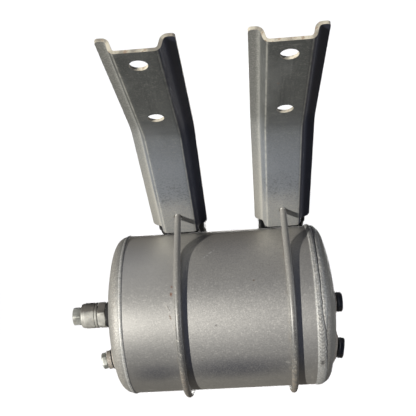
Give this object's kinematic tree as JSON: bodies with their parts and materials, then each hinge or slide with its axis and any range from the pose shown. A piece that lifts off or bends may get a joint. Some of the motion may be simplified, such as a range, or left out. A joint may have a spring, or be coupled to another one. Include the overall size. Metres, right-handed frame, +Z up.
{
  "type": "compressed air reservoir",
  "caption": "Horizontal welded steel air reservoir with dished heads and threaded ports, held by U-bolts on hat-section brackets with a dog-leg bend.",
  "frame": {"origin": "in the chassis rail face, at the centre of the four chassis bolt holes", "axes": "+Z up along the vertical ends of the brackets, +X along the tank's axis from the valve head to the plugged head, +Y into the chassis rail"},
  "size_m": [0.4271, 0.3408, 0.6561],
  "materials": {
    "tank_paint": "dusty semi-gloss grey paint",
    "weld_bead": "painted weld bead",
    "boss_steel": "painted steel, rusting at the weld",
    "bracket_paint": "weathered dark grey paint, bare at the edges",
    "saddle_paint": "black paint",
    "rod_paint": "worn grey paint on steel bar",
    "zinc_steel": "dull zinc plating",
    "valve_metal": "dull plated metal, dusty",
    "valve_brass": "machined brass",
    "spring_steel": "spring steel wire",
    "plug_black": "satin black",
    "seal_rubber": "matt black rubber"
  },
  "bodies": {
    "reservoir": {"shell": "tank_paint", "head_left": "tank_paint", "head_right": "tank_paint", "girth_weld_left": "weld_bead", "girth_weld_right": "weld_bead", "seam_weld": "weld_bead", "port_boss_left_centre": "boss_steel", "port_boss_left_lower": "boss_steel", "port_boss_right_centre": "boss_steel", "port_boss_right_lower": "boss_steel", "bracket_left": "bracket_paint", "bracket_right": "bracket_paint", "saddle_left": "saddle_paint", "saddle_right": "saddle_paint", "cradle_left": "saddle_paint", "cradle_right": "saddle_paint", "foot_plate_left": "saddle_paint", "foot_plate_right": "saddle_paint", "u_bolt_left": "rod_paint", "u_bolt_right": "rod_paint", "nut_left_upper": "zinc_steel", "washer_left_upper": "zinc_steel", "nut_left_lower": "zinc_steel", "washer_left_lower": "zinc_steel", "nut_right_upper": "zinc_steel", "washer_right_upper": "zinc_steel", "nut_right_lower": "zinc_steel", "washer_right_lower": "zinc_steel", "valve_end_nut": "zinc_steel", "valve_adapter": "valve_metal", "valve_body": "valve_metal", "valve_spring": "spring_steel", "valve_seal": "seal_rubber", "liner_left": "seal_rubber", "liner_right": "seal_rubber"},
    "plug_seal_left_lower": {"plug_seal_left_lower": "seal_rubber"},
    "plug_left_lower": {"plug_left_lower": "zinc_steel"},
    "plug_seal_right_centre": {"plug_seal_right_centre": "seal_rubber"},
    "plug_right_centre": {"plug_right_centre": "plug_black"},
    "plug_seal_right_lower": {"plug_seal_right_lower": "seal_rubber"},
    "plug_right_lower": {"plug_right_lower": "plug_black"},
    "valve_poppet": {"valve_poppet": "valve_brass"}
  },
  "joints": [
    {"name": "plug_left_lower_unscrew", "type": "slide", "parent": "reservoir", "child": "plug_seal_left_lower", "axis": [-0.9816, -0.1866, 0.0397], "range_m": [0, 0.0165]},
    {"name": "plug_left_lower_turn", "type": "hinge", "parent": "plug_seal_left_lower", "child": "plug_left_lower", "pos_m": [-0.19416, -0.27862, -0.35626], "axis": [-0.9816, -0.1866, 0.0397], "range_deg": [0, 3960]},
    {"name": "plug_right_centre_unscrew", "type": "slide", "parent": "reservoir", "child": "plug_seal_right_centre", "axis": [1, 0, 0], "range_m": [0, 0.0165]},
    {"name": "plug_right_centre_turn", "type": "hinge", "parent": "plug_seal_right_centre", "child": "plug_right_centre", "pos_m": [0.15515, -0.2071, -0.37146], "axis": [1, 0, 0], "range_deg": [0, 3960]},
    {"name": "plug_right_lower_unscrew", "type": "slide", "parent": "reservoir", "child": "plug_seal_right_lower", "axis": [0.9816, -0.1866, 0.0397], "range_m": [0, 0.0165]},
    {"name": "plug_right_lower_turn", "type": "hinge", "parent": "plug_seal_right_lower", "child": "plug_right_lower", "pos_m": [0.14866, -0.27862, -0.35626], "axis": [0.9816, -0.1866, 0.0397], "range_deg": [0, 3960]},
    {"name": "valve_open", "type": "slide", "parent": "reservoir", "child": "valve_poppet", "axis": [1, 0, 0], "range_m": [0, 0.003], "stiffness_N_per_m": 300, "springref_m": -0.004, "deforming": ["valve_spring"]}
  ],
  "couplings": [
    {"joint": "plug_left_lower_turn", "follows": "plug_left_lower_unscrew", "rad_per_m": 4188.8},
    {"joint": "plug_right_centre_turn", "follows": "plug_right_centre_unscrew", "rad_per_m": 4188.8},
    {"joint": "plug_right_lower_turn", "follows": "plug_right_lower_unscrew", "rad_per_m": 4188.8}
  ]
}
